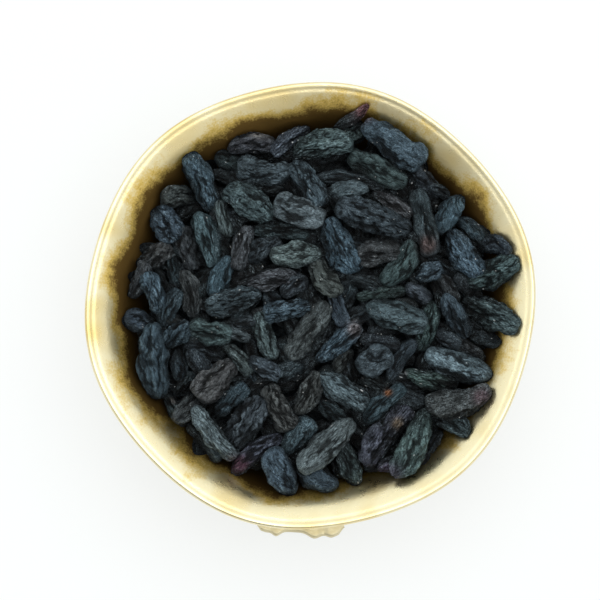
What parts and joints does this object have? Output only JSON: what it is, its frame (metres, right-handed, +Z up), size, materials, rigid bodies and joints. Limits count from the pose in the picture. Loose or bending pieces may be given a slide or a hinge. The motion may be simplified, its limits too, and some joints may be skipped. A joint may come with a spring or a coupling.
{
  "type": "bowl of black raisins",
  "caption": "Thin pressed brass bowl with soft sides on cast leaf feet, filled with a loose heap of long black raisins",
  "frame": {"origin": "on the table, under the middle of the box round the whole", "axes": "+Z up out of the bowl, -Y towards the front foot, +X to the right seen from the front"},
  "size_m": [0.141, 0.1448, 0.051],
  "materials": {
    "brass_sheet": "polished",
    "brass_cast": "satin",
    "raisin_skin": "matte"
  },
  "bodies": {
    "root": {"bowl": "brass_sheet", "foot_front": "brass_cast", "foot_back_right": "brass_cast", "foot_back_left": "brass_cast", "raisins": "raisin_skin"}
  },
  "joints": []
}
